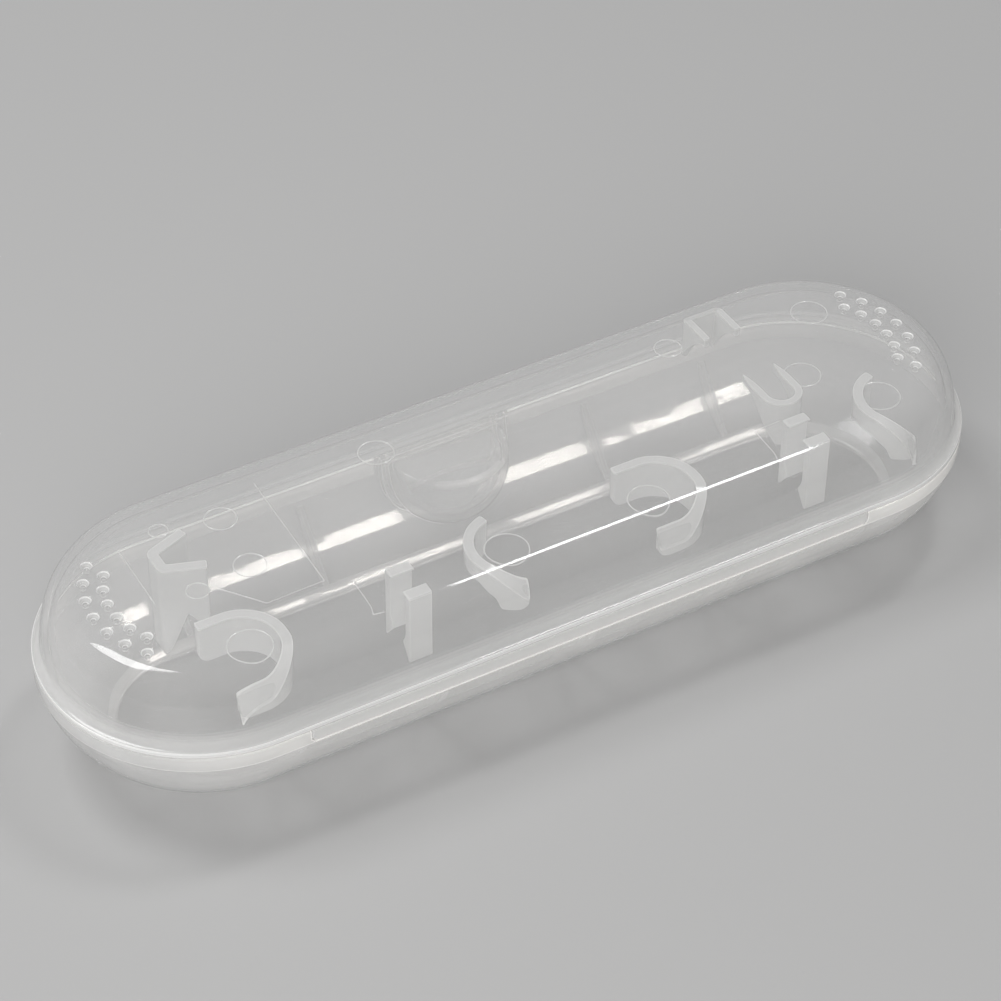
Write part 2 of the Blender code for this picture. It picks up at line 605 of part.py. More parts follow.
def build_shoulder(parts, room):
    """Two U shaped walls whose arms are cut to the curve of the handle's shoulder."""
    left, right = (STRAIGHT - inward for inward in SHOULDER_IN)
    axis_y, axis_z = SHOULDER_AXIS
    radius = (right - left) / 2
    centre_x, turn_y = (left + right) / 2, NEAR_U_BACK_Y + radius
    near = [(left, NEAR_U_TIP_Y - i * (NEAR_U_TIP_Y - turn_y) / 4) for i in range(4)]
    near += arc((centre_x, turn_y), radius, math.pi, 2 * math.pi, 12)
    near += [(right, turn_y + i * (NEAR_U_TIP_Y - turn_y) / 4) for i in range(1, 5)]

    def over_handle(y):
        return axis_z + math.sqrt(max(SHOULDER_R ** 2 - (y - axis_y) ** 2, 0.0))

    def near_edge(s, length, x, y):
        return min(max(over_handle(y), NEAR_U_FREE_Z), HEIGHT - 2 * WALL)

    steps = 6
    far = [(left, FAR_U_TIP_Y + (FAR_U_BACK_Y - FAR_U_TIP_Y) * i / steps) for i in range(steps)]
    far += [(left + (right - left) * i / steps, FAR_U_BACK_Y) for i in range(steps)]
    far += [(right, FAR_U_BACK_Y - (FAR_U_BACK_Y - FAR_U_TIP_Y) * i / steps) for i in range(steps + 1)]

    def far_edge(s, length, x, y):
        lift = FAR_U_SCALLOP * math.sin(math.pi * min(max((x - left) / (right - left), 0.0), 1.0))
        return min(over_handle(y) + lift, HEIGHT - 2 * WALL)

    return [hanging_wall("shoulder_cradle_near", near, near_edge, SHOULDER_WALL, SHOULDER_WALL, room, parts),
            hanging_wall("shoulder_cradle_far", far, far_edge, SHOULDER_WALL, SHOULDER_WALL, room, parts)]


def pivot(name, y, z, group):
    empty = bpy.data.objects.new(name, None)
    empty.empty_display_size = REACH
    empty.location = (0.0, y, z)
    group.objects.link(empty)
    return empty


def hang_on(child, parent, chain):
    """Parents child to an empty without moving it; chain is the empty's place in the world."""
    child.parent = parent
    child.matrix_parent_inverse = Matrix.Translation(chain).inverted()


def main():
    clear_scene()
    parts = new_collection("toothbrush_travel_case")
    cutters = new_collection("cutters")

    build_base(parts, cutters)
    build_cradles(parts)
    strip = build_strip(parts)
    lid, room = build_lid(parts, cutters)
    tab = build_tab(parts, cutters)
    holders = build_hooks(parts, room) + build_clips(parts, room)
    holders += [build_stop(parts, room)] + build_shoulder(parts, room)

    lower_at = (0.0, -END_R, LOWER_FOLD_Z)
    upper_at = (0.0, -END_R, UPPER_FOLD_Z)
    latch_at = (0.0, END_R - TAB_THICKNESS / 2, PARTING_Z)
    lower = pivot("lower_fold", *lower_at[1:], parts)
    upper = pivot("upper_fold", *upper_at[1:], parts)
    latch = pivot("latch_flexure", *latch_at[1:], parts)
    hang_on(strip, lower, lower_at)
    hang_on(upper, lower, lower_at)
    hang_on(latch, upper, upper_at)
    for piece in [lid] + holders:
        hang_on(piece, upper, upper_at)
    hang_on(tab, latch, latch_at)

    shades = {"base": clear_plastic("base_plastic", 0.22), "lid": clear_plastic("lid_plastic", 0.18),
              "hinge": clear_plastic("strip_plastic", 0.3), "latch": clear_plastic("tab_plastic", 0.25),
              "cradle": clear_plastic("rib_plastic", 0.3), "holder": clear_plastic("holder_plastic", 0.35)}
    for item in parts.objects:
        if item.type != "MESH":
            continue
        kind = item.name.split("_")[0]
        item.data.materials.append(shades.get(kind, shades["holder"]))
        item.data.shade_smooth()
        item.data.set_sharp_from_angle(angle=CREASE)
    bpy.context.view_layer.update()


main()
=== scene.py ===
"""Looks of a hinged travel case for an electric toothbrush, moulded in milky clear polypropylene.

Lengths are written in millimetres and turned to metres where a mesh is made. X runs along the case, the hinge
is on the -Y side, the latch on the +Y side.
"""
import math

import bmesh
import bpy
import numpy as np
from mathutils import Matrix


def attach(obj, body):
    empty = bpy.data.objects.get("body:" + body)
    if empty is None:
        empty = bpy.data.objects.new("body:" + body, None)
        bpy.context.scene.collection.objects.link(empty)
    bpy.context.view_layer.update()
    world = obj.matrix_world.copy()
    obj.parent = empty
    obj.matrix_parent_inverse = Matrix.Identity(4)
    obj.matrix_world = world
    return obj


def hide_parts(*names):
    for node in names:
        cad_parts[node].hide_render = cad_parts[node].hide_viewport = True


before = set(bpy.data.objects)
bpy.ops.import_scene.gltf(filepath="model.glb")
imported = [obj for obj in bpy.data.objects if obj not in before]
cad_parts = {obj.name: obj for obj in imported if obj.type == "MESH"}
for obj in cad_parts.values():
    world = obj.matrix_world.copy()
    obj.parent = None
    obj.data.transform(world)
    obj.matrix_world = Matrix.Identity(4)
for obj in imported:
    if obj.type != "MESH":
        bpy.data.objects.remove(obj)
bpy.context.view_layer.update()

# Sizes of the case, in millimetres
LENGTH, WIDTH, HEIGHT = 215.0, 69.0, 39.0
PARTING, WALL, GAP = 23.0, 1.6, 0.3       # the rims' height, the wall, and the gap between the rims
END_R = WIDTH / 2
SPINE = LENGTH / 2 - END_R                # X of the centre of each round end
ABOVE = PARTING + 10                      # height at which a cutting tool is clear of the base
SIDE_R, SIDE_Y = 23.0, END_R - 23.0       # arc of the base's side, and the half width of its centre
BAND_Z, BAND_WALL = PARTING - 3.5, 2.2    # lower edge and wall of the band round the base's rim
PAD, PAD_DRAFT = 20.5, 0.7                # half width of the pad below, and how far its side leans in
ROOF_HALF, LID_WALL_R = 24.5, END_R - 1.8 # half widths of the lid's flat roof and of its wall
ROUND_Z, ROUND_POWER = PARTING + 0.5, 2.233   # foot and power of the superellipse between them
FLANGE, FLARE = 1.1, 1.6                  # height of the lid's flange, and radius of the flare above it
VENT_ARCS, VENT_TURN = ((23.0, 7), (19.1, 6)), 12.8   # each arc's radius and vents; degrees between vents
VENT_MOUTH, VENT_THROAT = 1.34, 0.45      # a vent's radius at the roof's top and through the roof
HOLDER_PITCH = 2 * SPINE - 50.4           # from the left brush head's holders to the right one's
FUSE = 0.4                                # how far a holder's or rib's root runs into the wall it grows from
CREASE = 30.0                             # degrees; a sharper edge is shaded as an edge


# Mesh tools
def quads(rows, columns, wrap_rows=False, wrap_columns=False):
    """Corner numbers of the faces of a grid of points, as one array of four columns."""
    r = np.arange(rows if wrap_rows else rows - 1)
    c = np.arange(columns if wrap_columns else columns - 1)
    r, c = np.meshgrid(r, c, indexing="ij")
    r2, c2 = (r + 1) % rows, (c + 1) % columns
    corners = [r * columns + c, r2 * columns + c, r2 * columns + c2, r * columns + c2]
    return np.stack(corners, -1).reshape(-1, 4)


def solid(name, points, faces, crease=CREASE, thick=None):
    """A closed mesh from points in millimetres and faces; doubles are merged, faces turned outward, and edges
    sharper than crease degrees kept sharp. The attribute thick tells the plastic where it takes more milk:
    partly for thicker plastic, partly as painted highlight."""
    mesh = bpy.data.meshes.new(name)
    mesh.from_pydata((np.asarray(points, float).reshape(-1, 3) * 0.001).tolist(), [],
                     [list(face) for face in faces])
    if thick is not None:
        mesh.attributes.new("thick", "FLOAT", "POINT").data.foreach_set("value", np.ravel(thick))
    bm = bmesh.new()
    bm.from_mesh(mesh)
    bmesh.ops.remove_doubles(bm, verts=bm.verts[:], dist=2e-6)
    bmesh.ops.dissolve_degenerate(bm, edges=bm.edges[:], dist=1e-6)
    bmesh.ops.recalc_face_normals(bm, faces=bm.faces[:])
    bm.to_mesh(mesh)
    bm.free()
    mesh.shade_smooth()
    mesh.set_sharp_from_angle(angle=math.radians(crease))
    item = bpy.data.objects.new(name, mesh)
    bpy.context.scene.collection.objects.link(item)
    return item


def work(item, steps):
    """Adds, cuts or keeps with each (tool solid, operation) in turn, fixes the result in the mesh and removes
    the tools."""
    for tool, operation in steps:
        cut = item.modifiers.new(operation, "BOOLEAN")
        cut.operation, cut.solver, cut.object = operation, "EXACT", tool
    bpy.context.view_layer.update()
    made = bpy.data.meshes.new_from_object(item.evaluated_get(bpy.context.evaluated_depsgraph_get()))
    item.modifiers.clear()
    item.data = made
    made.name = item.name
    made.shade_smooth()
    made.set_sharp_from_angle(angle=math.radians(CREASE))
    for tool, _ in steps:
        bpy.data.objects.remove(tool)
    return item


def paint_highlights(item, rule):
    """Writes the attribute thick on every face, by a rule on the faces' centres in millimetres; the rules
    paint highlights as extra milk.
    """
    centres = np.empty(len(item.data.polygons) * 3)
    item.data.polygons.foreach_get("center", centres)
    share = rule(*centres.reshape(-1, 3).T * 1000).astype(np.float32)
    item.data.attributes.new("thick", "FLOAT", "FACE").data.foreach_set("value", share)
    return item


def plan_half(x, y):
    """Half width h of the long plan at a point, which is its distance from the spine."""
    return np.hypot(np.maximum(np.abs(x) - SPINE, 0.0), y)


def stadium(section):
    """A section of (half width h, height z) carried round the long plan, in 96 steps round each half circle
    and 44 along each side: every point is the spine's point plus h times the outward direction, and the
    spine's X is held at the end's centre round each half circle."""
    turn = np.linspace(-np.pi / 2, np.pi / 2, 97)
    side = np.linspace(SPINE, -SPINE, 45)[1:-1]
    spine = np.concatenate([np.full(turn.size, SPINE), side, np.full(turn.size, -SPINE), -side])
    out_x = np.concatenate([np.cos(turn), 0 * side, -np.cos(turn), 0 * side])
    out_y = np.concatenate([np.sin(turn), 0 * side + 1, -np.sin(turn), 0 * side - 1])
    h, z = np.asarray(section, float).T
    points = np.stack([spine[:, None] + out_x[:, None] * h, out_y[:, None] * h,
                       np.broadcast_to(z, (spine.size, z.size))], -1)
    return points, quads(spine.size, h.size, wrap_rows=True)


def joined(parts):
    """Several lots of points and faces as one: each lot's corner numbers are moved on past the lots before
    it."""
    points, faces, count = [], [], 0
    for part_points, part_faces in parts:
        points.append(part_points)
        faces.append(part_faces + count)
        count += len(part_points)
    return np.concatenate(points), np.concatenate(faces)


def turned(profile, places, steps):
    """A profile of (radius, height) turned about an upright axis at each place, from the axis to the axis."""
    angle = np.linspace(0, 2 * np.pi, steps, endpoint=False)
    r, z = np.asarray(profile, float).T
    ring = np.stack([np.cos(angle)[:, None] * r, np.sin(angle)[:, None] * r,
                     np.broadcast_to(z, (steps, z.size))], -1).reshape(-1, 3)
    faces = quads(steps, r.size, wrap_rows=True)
    return joined([(ring + (x, y, 0.0), faces) for x, y in places])


def slab(outline, half, middle, axis):
    """A flat outline given thickness both ways from middle: across (axis "x", drawn in Y and Z) or along
    (axis "y", drawn in X and Z)."""
    a, z = np.asarray(outline, float).T
    n = a.size
    sides = []
    for offset in (middle - half, middle + half):
        other = np.full(n, offset)
        sides.append(np.stack([other, a, z] if axis == "x" else [a, other, z], -1))
    ring = np.arange(n)
    walls = np.stack([ring, (ring + 1) % n, (ring + 1) % n + n, ring + n], -1)
    return np.concatenate(sides), [list(f) for f in walls] + [list(ring[::-1]), list(ring + n)]


def round_edges(item, width):
    """Rounds the edges sharper than 35 degrees with a live bevel of three segments."""
    edge = item.modifiers.new("rounded", "BEVEL")
    edge.width, edge.segments, edge.limit_method = width * 0.001, 3, "ANGLE"
    edge.angle_limit = math.radians(35)
    edge.harden_normals = False
    return item


def arc(centre, radius, start, end, steps):
    """Points of a circle from start to end, in degrees."""
    t = np.radians(np.linspace(start, end, steps + 1))
    return np.stack([centre[0] + radius * np.cos(t), centre[1] + radius * np.sin(t)], -1)


def distances(path):
    """Distance along a path in plan to each of its points."""
    return np.concatenate([[0], np.cumsum(np.hypot(*np.diff(path, axis=0).T))])


def eased(corners, radii, steps=4):
    """An open line of corners, each rounded by its radius: a quadratic curve from one tangent point to the
    other, drawn outward by the corner itself."""
    corners = np.asarray(corners, float)
    rows = [corners[:1]]
    for before, here, after, radius in zip(corners, corners[1:], corners[2:], radii):
        a, b = before - here, after - here
        start, end = here + a / np.hypot(*a) * radius, here + b / np.hypot(*b) * radius
        t = np.linspace(0, 1, steps + 1)[:, None]
        rows.append((1 - t) ** 2 * start + 2 * t * (1 - t) * here + t ** 2 * end)
    rows.append(corners[-1:])
    return np.concatenate(rows)


# The case's own curves
def side_half(inset, z):
    """Half width of the base's side at height z: the centre's half width plus the arc's run there."""
    return SIDE_Y + np.sqrt(np.maximum((SIDE_R - inset) ** 2 - (PARTING - z) ** 2, 0.0))


def side_curve(inset, z_low, z_high, steps):
    """The base's side as an arc between two heights."""
    radius = SIDE_R - inset
    low = -math.degrees(math.asin((PARTING - z_low) / radius))
    high = -math.degrees(math.asin((PARTING - z_high) / radius))
    return arc((SIDE_Y, PARTING), radius, low, high, steps)


def side_height(inset, half):
    """Height at which the base's side has this half width."""
    return PARTING - math.sqrt((SIDE_R - inset) ** 2 - (half - SIDE_Y) ** 2)


def lid_curve(inset, z_low, steps):
    """The lid's shoulder from the roof down to z_low: a superellipse round the roof's edge."""
    wide, tall = LID_WALL_R - ROOF_HALF, HEIGHT - inset - ROUND_Z
    last = math.asin(((z_low - ROUND_Z) / tall) ** (ROUND_POWER / 2))
    t = np.linspace(np.pi / 2, last, steps + 1)
    return np.stack([ROOF_HALF - inset + wide * np.clip(np.cos(t), 0, 1) ** (2 / ROUND_POWER),
                     ROUND_Z + tall * np.sin(t) ** (2 / ROUND_POWER)], -1)


def lid_underside(x, y):
    """Height of the lid's inner face over a point of the plan: flat up to the roof's edge, then the
    shoulder's superellipse."""
    f = np.clip((plan_half(x, y) - ROOF_HALF + WALL) / (LID_WALL_R - ROOF_HALF), 0.0, 0.985)
    return ROUND_Z + (HEIGHT - WALL - ROUND_Z) * (1 - f ** ROUND_POWER) ** (1 / ROUND_POWER)


# Pieces
def lid_shell():
    """The lid: its section round the plan, with two arcs of funnel vents cut through each end of the roof.
    The funnels' lips and the flare at the rim carry painted highlight as extra milk, most of all the flange's
    edge and its upper corner."""
    rim, flange = PARTING + GAP / 2, PARTING + GAP / 2 + FLANGE
    neck = flange + FLARE
    flare_at = (LID_WALL_R + FLARE, neck)
    outer = lid_curve(0.0, neck, 46)
    foot = eased([(flare_at[0], flange), (END_R, flange), (END_R, rim), (END_R - 2.2, rim)], (0.3, 0.25))
    lean = math.degrees(math.asin((flare_at[1] - rim) / (FLARE + WALL)))
    inner_flare = arc(flare_at, FLARE + WALL, 180 + lean, 180, 8)
    inner = lid_curve(WALL, neck, 34)[::-1]
    section = np.concatenate([[(0, HEIGHT), (8, HEIGHT), (16, HEIGHT)], outer,
                              arc(flare_at, FLARE, 180, 270, 10)[1:-1], foot[:-1], inner_flare, inner[1:],
                              [(14, HEIGHT - WALL), (7, HEIGHT - WALL), (0, HEIGHT - WALL)]])
    shell = solid("lid_clear_shell", *stadium(section))
    places = []
    for end in (-1, 1):
        for distance, count in VENT_ARCS:
            turn = np.radians(VENT_TURN) * (np.arange(count) - (count - 1) / 2)
            places += list(zip(end * (SPINE + distance * np.cos(turn)), distance * np.sin(turn)))
    funnel = [(0, HEIGHT + 1), (VENT_MOUTH, HEIGHT + 1), (VENT_MOUTH, HEIGHT + 0.02), (1.22, HEIGHT - 0.04),
              (1.08, HEIGHT - 0.2), (0.62, HEIGHT - 0.8), (0.48, HEIGHT - 0.95), (VENT_THROAT, HEIGHT - 1.1),
              (VENT_THROAT, HEIGHT - 2 * WALL), (0, HEIGHT - 2 * WALL)]
    shell = work(shell, [(solid("vent_tools", *turned(funnel, places, 20)), "DIFFERENCE")])

    def rule(x, y, z):
        """Painted highlight as extra milk: most in each funnel's mouth and throat and on the flange, less in
        the flare, where it fades upward."""
        away = np.min([np.hypot(x - vent_x, y - vent_y) for vent_x, vent_y in places], axis=0)
        funnels = (away < VENT_MOUTH - 0.01) & (z < HEIGHT - 0.01) & (z > HEIGHT - 1.0)
        rings = np.where((away > 1.0) | (away < 0.7), 1.9, 0.6)
        h = plan_half(x, y)
        corner = (h > END_R - 0.32) & (z > flange - 0.32) & (z < flange + 0.1)
        edge = np.where(corner, 2.2, 1.7)
        flare = 0.6 * np.clip((neck + 1.2 - z) / 1.6, 0, 1)
        return np.where(funnels, rings, np.where(corner | (h > END_R - 0.1), edge, flare))

    return paint_highlights(shell, rule)


def base_shell():
    """The base: its section round the plan, with the latch's backing and the scoop's wall added, and the
    latch's pocket, the thumb scoop and the hinge strip's recess cut. The rim band and the pad's edge carry
    painted highlight as extra milk, most of all the band's lower edge and its upper inner corner."""
    rim, inner_rim = PARTING - GAP / 2, END_R - BAND_WALL
    meet = PARTING - math.sqrt((SIDE_R - WALL) ** 2 - (inner_rim - SIDE_Y) ** 2)
    pad_z, inner_pad = side_height(0.0, PAD), PAD - PAD_DRAFT - WALL / 2
    side_start = side_height(0, PAD + 1.5)
    foot = eased([(12, 0), (PAD - PAD_DRAFT, 0), (PAD, pad_z), (PAD + 1.5, side_start)], (0.35, 0.3))
    outer = side_curve(0.0, side_start, BAND_Z - 0.3, 40)
    band = eased([outer[-1], (side_half(0, BAND_Z), BAND_Z), (END_R, BAND_Z), (END_R, rim), (inner_rim, rim),
                  (inner_rim, meet), side_curve(WALL, meet - 1, meet, 2)[0]], (0.12, 0.12, 0.3, 0.3, 0.6))
    inner = side_curve(WALL, side_height(WALL, PAD), meet - 1, 36)[::-1]
    floor = eased([inner[-1], (inner_pad, WALL), (10, WALL)], (0.7,))
    section = np.concatenate([[(0, 0)], foot[:-1], outer[:-1], band[:-1], inner[:-1], floor, [(0, WALL)]])
    shell = solid("base_clear_shell", *stadium(section))

    wall_middle = np.concatenate([[(0, WALL / 2), (PAD - WALL, WALL / 2)],
                                  side_curve(WALL / 2, side_height(WALL / 2, PAD), PARTING - 1, 30),
                                  [(END_R - WALL / 2, rim - WALL / 2), (0, rim - WALL / 2)]])
    pocket_z, bar_z, pocket_in, bar_in = 11.4, PARTING - 3.0, 1.8, 2.1
    backing_half, pocket_half = 15.5, 13.9
    z = np.linspace(pocket_z - WALL, PARTING, 17)
    top = np.minimum(z, rim)
    backing = slab(np.concatenate([np.stack([side_half(WALL / 2, z), top], -1),
                                   np.stack([side_half(pocket_in + WALL, z), top], -1)[::-1]]),
                   backing_half, 0.0, "x")
    z = np.linspace(pocket_z, PARTING, 17)
    back = np.stack([np.minimum(side_half(pocket_in, z), END_R - bar_in), z], -1)
    pocket = slab(np.concatenate([back, [(END_R - bar_in, ABOVE), (END_R + 10, ABOVE),
                                         (END_R + 10, pocket_z)]]), pocket_half, 0.0, "x")
    scoop_r, scoop_y, scoop_z = 12.2, 30.5, 17.0

    def rounded(name, half, low, turn):
        """A box that reaches above the case, with its two lower corners rounded."""
        line = [(-half, ABOVE), (-half, low), (half, low), (half, ABOVE)]
        return solid(name, *slab(eased(line, (turn, turn), 12), 10.0, END_R - 2.0, "y"))

    def thimble(radius, high, lip):
        """An upright cylinder with a half ball below and a rounded lip above."""
        line = arc((0.0, scoop_z), radius, -90, 0, 22)
        crown = eased([(radius, scoop_z), (radius, high), (0, high)], (lip,), 6)
        return turned(np.concatenate([line, crown[1:]]), [(0.0, scoop_y)], 72)

    backing = work(solid("latch_backing", *backing),
                   [(rounded("backing_corners", backing_half, pocket_z - WALL, 7.0), "INTERSECT")])
    pocket = work(solid("latch_pocket", *pocket),
                  [(rounded("pocket_corners", pocket_half, pocket_z, 4.6), "INTERSECT")])
    wall = work(solid("scoop_wall", *thimble(scoop_r + WALL, bar_z + WALL, 1.2)),
                [(solid("inside_only", *stadium(wall_middle)), "INTERSECT")])
    low, side, ramp, deep = 19.65, 66.3, 0.9, 1.1
    recess = slab([(-side, ABOVE), (-side, low + ramp), (-side + ramp, low), (side - ramp, low),
                   (side, low + ramp), (side, ABOVE)], 5.0, -END_R + deep - 5.0, "y")
    shell = work(shell, [(backing, "UNION"), (wall, "UNION"), (pocket, "DIFFERENCE"),
                         (solid("thumb_scoop", *thimble(scoop_r, bar_z, 0.8)), "DIFFERENCE"),
                         (solid("strip_recess", *recess), "DIFFERENCE")])

    def rule(x, y, z):
        """Painted highlight as extra milk: a parabola across the pad's edge, and the rim band fading
        downward, except at the latch, with a line along the band's lower edge and one along its upper inner
        corner."""
        h = plan_half(x, y)
        pad_edge = np.where(z < 5, 1 - (h - PAD + 0.9) ** 2 / 1.4, 0)
        latch_place = (np.abs(x) < backing_half + 1) & (y > 20)
        band = np.where(latch_place, 0, 0.6 * np.clip((z - BAND_Z + 0.7) / 0.6, 0, 1))
        low_edge = (h > END_R - 0.4) & (np.abs(z - BAND_Z) < 0.2)
        inner_corner = (h < inner_rim + 0.32) & (z > rim - 0.32)
        soft = np.clip(np.maximum(band, 0.7 * pad_edge), 0, 1)
        return np.where((low_edge | inner_corner) & (band > 0), 2.0, soft)

    return paint_highlights(shell, rule)


def cradle_ribs():
    """Crescents on the base's inner side: an arc along the wall and an inner arc whose rise from it is a half
    wave, given a thickness across the case's length."""
    made = []
    spots = (-0.918, -0.479, 0.0, 0.493, 0.918)     # places along the case, as shares of the spine
    top_z, half_wide, least, rise = 17.4, 0.75, 0.5, 2.1
    start = math.degrees(math.atan2(side_height(WALL, PAD) - PARTING, PAD - SIDE_Y))
    end = math.degrees(math.asin((top_z - PARTING) / (SIDE_R - WALL)))
    outer = arc((SIDE_Y, PARTING), SIDE_R - WALL + FUSE, start, end, 24)
    t = np.linspace(0, 1, 25)
    radius = SIDE_R - WALL - GAP - least - rise * np.sin(np.pi * t)
    turn = np.radians(start + (end - start) * t)
    crest = np.stack([SIDE_Y + radius * np.cos(turn), PARTING + radius * np.sin(turn)], -1)[::-1]
    for row, side in (("far", 1), ("near", -1)):
        for number, spot in enumerate(spots, 1):
            node = "cradle_rib_%s_%d" % (row, number)
            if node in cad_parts:
                outline = np.concatenate([outer, crest]) * (side, 1)
                rib = solid("clear_" + node, *slab(outline, half_wide, spot * SPINE, "x"))
                made.append((round_edges(rib, 0.3), "base", "rib_plastic", (node,)))
    return made


def hanging(name, path, free_edge, root, thin, tip=0.6, blunt=4.0):
    """A wall hanging from the lid along a plan path. Each station's section is two drafted faces, root
    thick above and thin below, joined by a superellipse edge, and its top runs into the lid's roof. The
    thickness falls to nothing over the last tip of the path, along a superellipse of power blunt."""
    path = np.asarray(path, float)
    edge_deep, beside = 0.5, 0.15       # depth of the lower edge's round, and reach for the path's direction
    runs = distances(path)
    length = runs[-1]
    rim = tip * (1 - np.cos(np.linspace(0, np.pi / 2, 9)))
    s = np.unique(np.round(np.concatenate([rim, length - rim, np.linspace(tip, length - tip, 90)]), 5))
    x, y = np.interp(s, runs, path[:, 0]), np.interp(s, runs, path[:, 1])
    dx, dy = (np.interp(s + beside, runs, path[:, k]) - np.interp(s - beside, runs, path[:, k])
              for k in (0, 1))
    size = np.hypot(dx, dy)
    across_x, across_y = -dy / size, dx / size
    left = np.clip(1 - np.minimum(s, length - s) / tip, 0, 1)
    fill = (1 - left ** blunt) ** (1 / blunt)
    low = free_edge(s, length, x, y)
    down = np.linspace(1, 0, 7)
    swing = np.linspace(0, np.pi, 15)
    offset = np.concatenate([np.full(7, 1.0), np.sign(np.cos(swing)) * np.abs(np.cos(swing)) ** 0.5,
                             np.full(7, -1.0)])
    level = np.concatenate([down, 0 * swing, down[::-1]])
    drop = np.concatenate([0 * down, edge_deep * np.sin(swing) ** 0.5, 0 * down])
    reach = (HEIGHT - WALL - low)[:, None]
    half = (thin + (root - thin) * level) / 2 * fill[:, None]
    px = x[:, None] + across_x[:, None] * offset * half
    py = y[:, None] + across_y[:, None] * offset * half
    top = lid_underside(px, py) + FUSE
    wall_z = low[:, None] + edge_deep - drop + (reach - edge_deep) * level
    z = np.where(level > 0.999, top, np.minimum(wall_z, top))
    points = np.stack([px, py, z], -1)
    rows, columns = points.shape[:2]
    index = np.arange(rows - 1) * columns
    roof = np.stack([index, index + columns - 1, index + 2 * columns - 1, index + columns], -1)
    return solid(name, points, np.concatenate([quads(rows, columns), roof]), 40.0)


def corner_lift(s, length, radius):
    """Rise of the lower edge near either end, a quarter circle."""
    inward = np.minimum(np.minimum(s, length - s), radius)
    return radius - np.sqrt(np.maximum(radius ** 2 - (radius - inward) ** 2, 0.0))


def head_hooks():
    """A rounded cup and a ring for each brush head, facing each other along the case. The ring's lower edge
    is deep along a lobe at either tip, then climbs by half a cosine wave and a slope to its shallow back."""
    edge_z, corner = 28.2, 2.4                  # a hook's lower edge and the round at its tips
    lobe, step_run, step_half = 5.1, 1.5, 1.2   # where the ring's step starts, its run and half its rise
    slope_start, slope_run, slope_rise = 6.2, 4.1, 2.6

    def cup_edge(s, length, x, y):
        return edge_z + corner_lift(s, length, corner)

    def ring_edge(s, length, x, y):
        inward = np.minimum(s, length - s)
        step = step_half * (1 - np.cos(np.pi * np.clip((inward - lobe) / step_run, 0, 1)))
        slope = slope_rise * np.clip((inward - slope_start) / slope_run, 0, 1)
        return cup_edge(s, length, x, y) + step + slope

    made = []
    tip_x, depth, half, bend, row_y = -SPINE - 6.2, 14.2, 9.1, 8.6, -20.2
    flat_x = tip_x + depth - bend
    cup = np.concatenate([[(tip_x, row_y + half)], arc((flat_x, row_y + half - bend), bend, 90, 0, 36),
                          arc((flat_x, row_y - half + bend), bend, 0, -90, 36), [(tip_x, row_y - half)]])
    ring_at, ring_r = (60.8 - SPINE, -20.1), 9.4
    ring = arc(ring_at, ring_r, 102, 258, 60)
    for side, shift in (("left", 0.0), ("right", HOLDER_PITCH)):
        for kind, path, edge in (("cup", cup, cup_edge), ("ring", ring, ring_edge)):
            node = "head_hook_%s_%s" % (kind, side)
            hook = hanging("clear_" + node, path + (shift, 0.0), edge, 2.2, 1.8)
            made.append((hook, "lid", "holder_plastic", (node,)))
    return made


def neck_prongs():
    """Barbed prongs in pairs: a section with a barb and a root fillet, given a width along the case."""
    made = []
    inner, outer, root, fillet = 3.3, 5.1, HEIGHT - WALL, 0.9
    tip_z, barb_z, shank_z, barb, tip_wide = 20.4, 24.0, 26.6, 1.3, 0.45
    place_x, row_y, half_width = 36.6 - SPINE, -19.6, 2.65
    profile = np.concatenate([[(outer, root + FUSE), (outer, tip_z), (outer - tip_wide, tip_z),
                               (inner - barb, barb_z), (inner, shank_z)],
                              arc((inner - fillet, root - fillet), fillet, 0, 90, 8),
                              [(inner - fillet, root + FUSE)]])
    for side, shift in (("left", 0.0), ("right", HOLDER_PITCH)):
        x = place_x + shift
        for place, sign in (("far", 1), ("near", -1)):
            node = "neck_prong_%s_%s" % (place, side)
            line = profile * (sign, 1) + (row_y, 0)
            roof = lid_underside(np.full(len(line), x), line[:, 0])
            line[:, 1] = np.minimum(line[:, 1], roof + FUSE)
            prong = solid("clear_" + node, *slab(line, half_width, x, "x"))
            made.append((round_edges(prong, 0.22), "lid", "holder_plastic", (node,)))
    return made


def handle_stop():
    """The V for the handle's foot; each arm's lower edge falls to a foot at the back, with a notch between
    the feet, and rises again to the tip."""
    tip_x, back_x, middle = 3.8 - SPINE, 3.8 - SPINE - 8.4, 10.0
    tip_half, back_half = 5.6, 2.6
    tip_z, notch_z, foot_z = 20.0, 25.5, 14.5
    corners = [(tip_x, middle + tip_half), (back_x, middle + back_half),
               (back_x, middle - back_half), (tip_x, middle - tip_half)]
    path = eased(corners, (0.9, 0.9), 6)
    arm = math.dist(corners[0], corners[1])

    def free_edge(s, length, x, y):
        inward = np.minimum(s, length - s) / arm
        return np.interp(inward, (0, 0.5, 1.0, 1.1), (tip_z, notch_z, foot_z, foot_z))

    stop = hanging("clear_handle_end_stop", path, free_edge, 2.2, 1.8)
    return [(stop, "lid", "holder_plastic", ("handle_end_stop",))]


